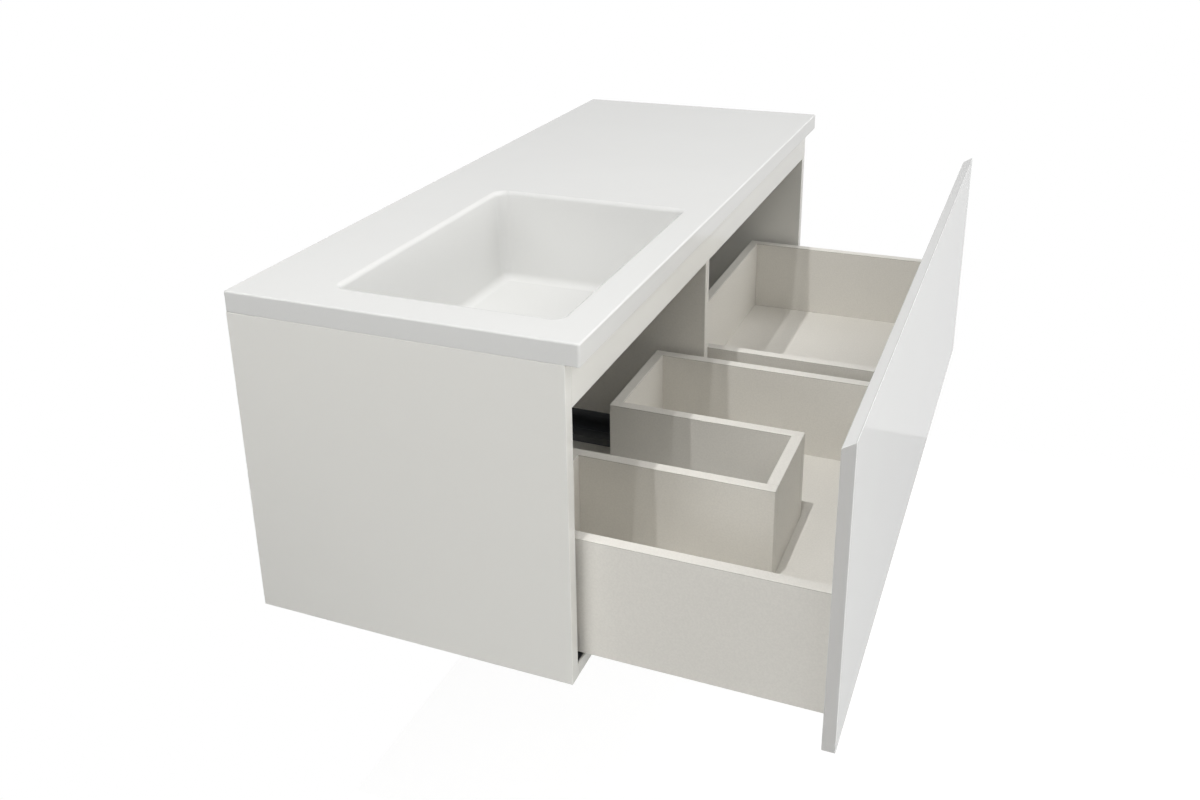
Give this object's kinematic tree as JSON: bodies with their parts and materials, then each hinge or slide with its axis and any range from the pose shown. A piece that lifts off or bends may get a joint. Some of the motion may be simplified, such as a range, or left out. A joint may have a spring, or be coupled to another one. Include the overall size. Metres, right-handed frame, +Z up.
{
  "type": "wall-hung vanity unit",
  "caption": "Wall-hung bathroom vanity cabinet with a cast top, offset rectangular bowl and a wide pull-out drawer with a notch for the trap.",
  "frame": {"origin": "on the wall plane, at the centre of the four wall-fixing holes", "axes": "+X to the right seen from the front, +Y into the wall, +Z up"},
  "size_m": [1.2, 0.778, 0.458],
  "materials": {
    "cast_top": "gloss white cast resin marble",
    "gloss_board": "fibreboard with gloss white lacquer",
    "drawer_board": "particle board faced with matt white melamine",
    "plated_steel": "zinc-plated sheet steel",
    "nylon_carriage": "moulded nylon",
    "zinc_fitting": "bright zinc plating",
    "clip_plastic": "moulded grey plastic"
  },
  "bodies": {
    "cabinet": {"basin_top": "cast_top", "left_side_panel": "gloss_board", "right_side_panel": "gloss_board", "bottom_panel": "gloss_board", "centre_partition": "drawer_board", "front_top_rail": "gloss_board", "back_top_rail": "drawer_board", "back_bottom_rail": "drawer_board", "runner_screws": "zinc_fitting", "left_outer_cabinet_rail": "plated_steel", "left_inner_cabinet_rail": "plated_steel", "right_inner_cabinet_rail": "plated_steel", "right_outer_cabinet_rail": "plated_steel"},
    "drawer": {"drawer_front": "gloss_board", "left_drawer_left_side": "drawer_board", "left_drawer_right_side": "drawer_board", "left_drawer_back_left": "drawer_board", "left_drawer_back_right": "drawer_board", "notch_left_wall": "drawer_board", "notch_right_wall": "drawer_board", "notch_front_wall": "drawer_board", "left_drawer_bottom": "drawer_board", "right_drawer_left_side": "drawer_board", "right_drawer_right_side": "drawer_board", "right_drawer_back": "drawer_board", "right_drawer_bottom": "drawer_board", "front_cam_discs": "zinc_fitting", "left_outer_drawer_rail": "plated_steel", "left_inner_drawer_rail": "plated_steel", "right_inner_drawer_rail": "plated_steel", "right_outer_drawer_rail": "plated_steel", "left_outer_locking_clip": "clip_plastic", "left_inner_locking_clip": "clip_plastic", "right_inner_locking_clip": "clip_plastic", "right_outer_locking_clip": "clip_plastic"},
    "runner_carriages": {"left_outer_roller_carriage": "nylon_carriage", "left_inner_roller_carriage": "nylon_carriage", "right_inner_roller_carriage": "nylon_carriage", "right_outer_roller_carriage": "nylon_carriage"}
  },
  "joints": [
    {"name": "drawer_slide", "type": "slide", "parent": "cabinet", "child": "drawer", "axis": [0, -1, 0], "range_m": [-0.303, 0]},
    {"name": "carriage_slide", "type": "slide", "parent": "cabinet", "child": "runner_carriages", "axis": [0, -1, 0], "range_m": [-0.1515, 0]}
  ],
  "couplings": [
    {"joint": "carriage_slide", "follows": "drawer_slide", "ratio": 0.5}
  ]
}
